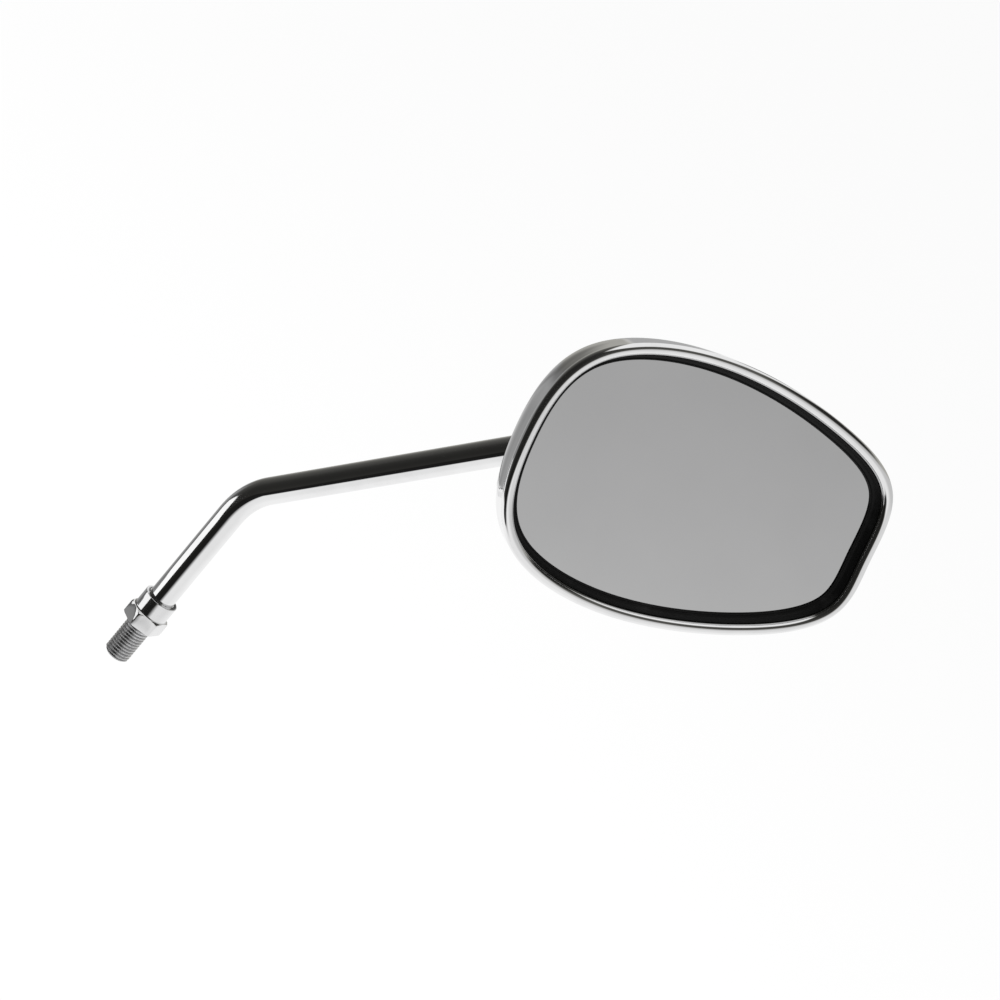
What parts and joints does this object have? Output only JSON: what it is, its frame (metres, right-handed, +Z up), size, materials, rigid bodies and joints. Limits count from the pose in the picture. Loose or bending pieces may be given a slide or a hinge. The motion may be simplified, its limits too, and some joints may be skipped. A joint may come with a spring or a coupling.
{
  "type": "motorcycle mirror",
  "caption": "Motorcycle mirror: teardrop chrome head with convex glass on a ball joint, bent round stem with a threaded end and lock nut.",
  "frame": {"origin": "on the thread's axis, at the upper end of the free thread, a millimetre below the lock nut's bottom face", "axes": "+Z up the lower rod, away from the threaded tip; the arm bends towards +X in the XZ plane; the glass faces mostly -Y"},
  "size_m": [0.1847, 0.1188, 0.2541],
  "materials": {
    "chrome": "polished chrome plating",
    "steel": "zinc plated steel",
    "nylon": "natural nylon",
    "rubber": "black moulded rubber",
    "mirror": "silvered convex glass",
    "foam": "closed cell foam",
    "plastic": "moulded plastic"
  },
  "bodies": {
    "stem": {"stem_rod": "chrome", "stem_ball": "steel"},
    "lock_nut": {"lock_nut": "chrome"},
    "neck_seat": {"neck_seat": "nylon"},
    "pressure_seat": {"pressure_seat": "nylon"},
    "head": {"socket": "chrome", "clamp_plate": "steel", "clamp_studs": "steel", "clamp_washers": "steel", "clamp_nuts": "steel", "clamp_spring_1": "steel", "clamp_spring_2": "steel", "clamp_spring_3": "steel", "housing": "chrome", "gasket": "rubber", "glass": "mirror", "foam_pad": "foam", "backing_plate": "plastic"}
  },
  "joints": [
    {"name": "nut_run", "type": "slide", "parent": "stem", "child": "lock_nut", "axis": [0, 0, 1], "range_m": [-0.012, 0]},
    {"name": "head_roll", "type": "hinge", "parent": "stem", "child": "neck_seat", "pos_m": [0.09541, 0, 0.18598], "axis": [0.6211, 0, 0.7837], "continuous": true},
    {"name": "head_tilt", "type": "hinge", "parent": "neck_seat", "child": "pressure_seat", "pos_m": [0.09541, 0, 0.18598], "axis": [0, 1, 0], "range_deg": [-12, 12]},
    {"name": "head_pan", "type": "hinge", "parent": "pressure_seat", "child": "head", "pos_m": [0.09541, 0, 0.18598], "axis": [0.7837, 0, -0.6211], "range_deg": [-12, 12]}
  ]
}
